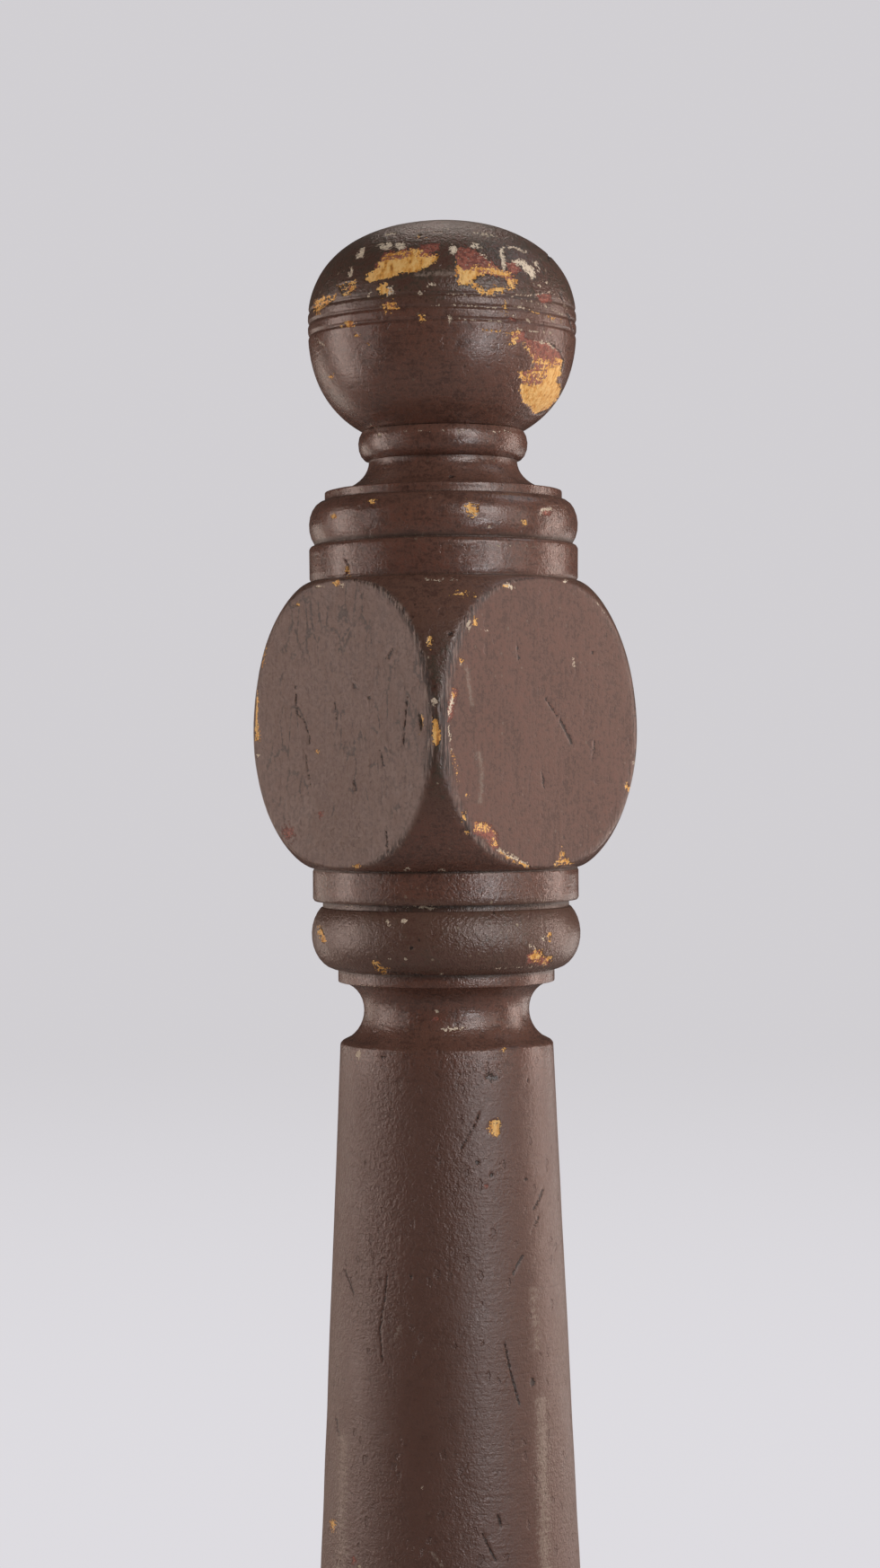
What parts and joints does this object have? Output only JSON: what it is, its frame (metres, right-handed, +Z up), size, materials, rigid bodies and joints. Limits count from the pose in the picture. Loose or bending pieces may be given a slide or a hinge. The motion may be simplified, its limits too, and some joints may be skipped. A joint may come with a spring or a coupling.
{
  "type": "newel post",
  "caption": "Turned softwood newel post with a flattened ball finial, moulded collars, a square rail block with turned shoulders, a tapered shaft and a square foot, in old chipped brown paint.",
  "frame": {"origin": "the middle of the square foot's underside, where the post stands on the floor", "axes": "+Z up along the turning axis; the timber's four flats, on the rail block and the foot, face +X, -X, +Y and -Y"},
  "size_m": [0.15, 0.15, 1.2201],
  "materials": {
    "old_brown_paint": "old brown semi-gloss paint, worn and chipped through maroon and cream coats to golden softwood"
  },
  "bodies": {
    "root": {"newel_post": "old_brown_paint"}
  },
  "joints": []
}
